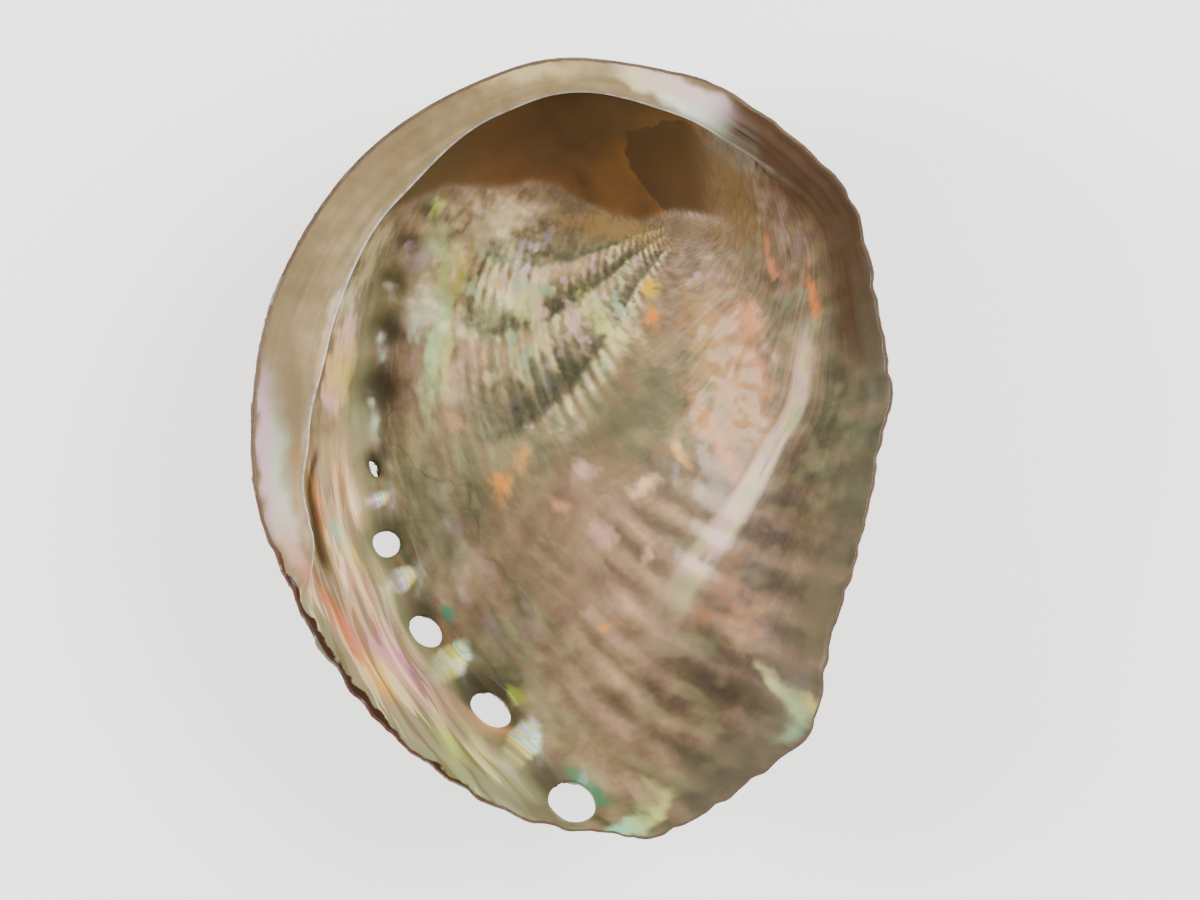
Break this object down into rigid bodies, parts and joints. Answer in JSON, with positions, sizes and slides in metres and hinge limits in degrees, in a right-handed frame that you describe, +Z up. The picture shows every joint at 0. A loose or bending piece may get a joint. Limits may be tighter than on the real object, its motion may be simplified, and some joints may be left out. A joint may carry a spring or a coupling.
{
  "type": "abalone shell",
  "caption": "Ear-shaped abalone shell lying on its back like a dish, with a nacre-lined bowl, an inturned ledge and a curving row of breathing pores.",
  "frame": {"origin": "centre of the bounding box, at the level of the surface that the shell rests on", "axes": "+X from the ledge's side towards the outer lip, +Y along the shell's length towards the spire's end, +Z up out of the open side"},
  "size_m": [0.127, 0.156, 0.0398],
  "materials": {
    "shell": "glossy iridescent nacre inside, rough chalky red-brown crust outside"
  },
  "bodies": {
    "root": {"shell": "shell"}
  },
  "joints": []
}
